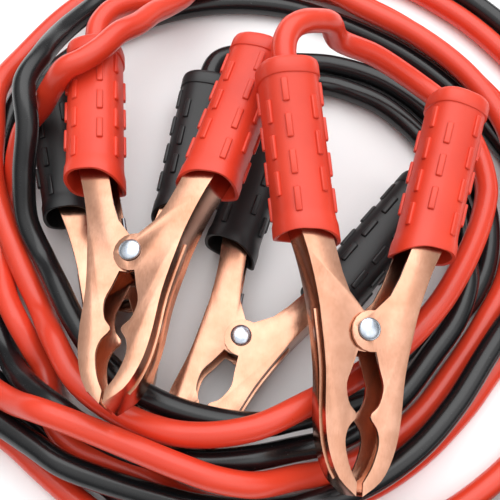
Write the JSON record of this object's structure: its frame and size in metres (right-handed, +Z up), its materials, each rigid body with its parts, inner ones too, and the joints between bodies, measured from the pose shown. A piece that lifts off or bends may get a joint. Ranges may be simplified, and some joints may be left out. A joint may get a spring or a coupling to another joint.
{
  "type": "jumper cable set",
  "caption": "Battery jumper cable set: red and black insulated cables with sprung, copper-plated clamps in ribbed soft grips, lying in a loose coil.",
  "frame": {"origin": "the floor under the middle of the four clamps' bounding box", "axes": "+Z is up from the floor the set lies on; the jaws point to -Y and the grips to +Y; +X is to the right of the picture"},
  "size_m": [0.3362, 0.3039, 0.0827],
  "materials": {
    "copper_plate": "copper-plated stamped steel, brushed",
    "zinc": "zinc-plated steel, domed",
    "spring_steel": "bare spring wire",
    "red_sleeve": "soft red PVC, satin",
    "black_sleeve": "soft black PVC, satin",
    "red_pvc": "smooth red PVC insulation",
    "black_pvc": "smooth black PVC insulation"
  },
  "bodies": {
    "set": {"red_cable": "red_pvc", "black_cable": "black_pvc", "red_left_left_arm": "copper_plate", "red_left_left_grip": "red_sleeve", "red_left_rivet": "zinc", "red_left_spring": "spring_steel", "red_right_left_arm": "copper_plate", "red_right_left_grip": "red_sleeve", "red_right_rivet": "zinc", "red_right_spring": "spring_steel", "black_right_left_arm": "copper_plate", "black_right_left_grip": "black_sleeve", "black_right_rivet": "zinc", "black_right_spring": "spring_steel", "black_left_right_arm": "copper_plate", "black_left_right_grip": "black_sleeve", "black_left_rivet": "zinc", "black_left_spring": "spring_steel"},
    "red_left_lever": {"red_left_right_arm": "copper_plate", "red_left_right_grip": "red_sleeve"},
    "red_right_lever": {"red_right_right_arm": "copper_plate", "red_right_right_grip": "red_sleeve"},
    "black_right_lever": {"black_right_right_arm": "copper_plate", "black_right_right_grip": "black_sleeve"},
    "black_left_lever": {"black_left_left_arm": "copper_plate", "black_left_left_grip": "black_sleeve"}
  },
  "joints": [
    {"name": "red_left_pivot", "type": "hinge", "parent": "set", "child": "red_left_lever", "pos_m": [-0.03793, -0.00814, 0.0482], "axis": [-0.1661, 0.0723, 0.9835], "range_deg": [0, 18], "stiffness_Nm_per_rad": 3, "springref_deg": -20.05},
    {"name": "red_right_pivot", "type": "hinge", "parent": "set", "child": "red_right_lever", "pos_m": [0.04317, -0.03564, 0.0479], "axis": [0.2629, -0.1573, 0.9519], "range_deg": [0, 18], "stiffness_Nm_per_rad": 3, "springref_deg": -20.05},
    {"name": "black_right_pivot", "type": "hinge", "parent": "set", "child": "black_right_lever", "pos_m": [0.00037, -0.02864, 0.0119], "axis": [0, 0, 1], "range_deg": [0, 18], "stiffness_Nm_per_rad": 3, "springref_deg": -20.05},
    {"name": "black_left_pivot", "type": "hinge", "parent": "set", "child": "black_left_lever", "pos_m": [-0.04743, -0.00614, 0.0119], "axis": [0, 0, -1], "range_deg": [0, 16], "stiffness_Nm_per_rad": 3, "springref_deg": -20.05}
  ]
}
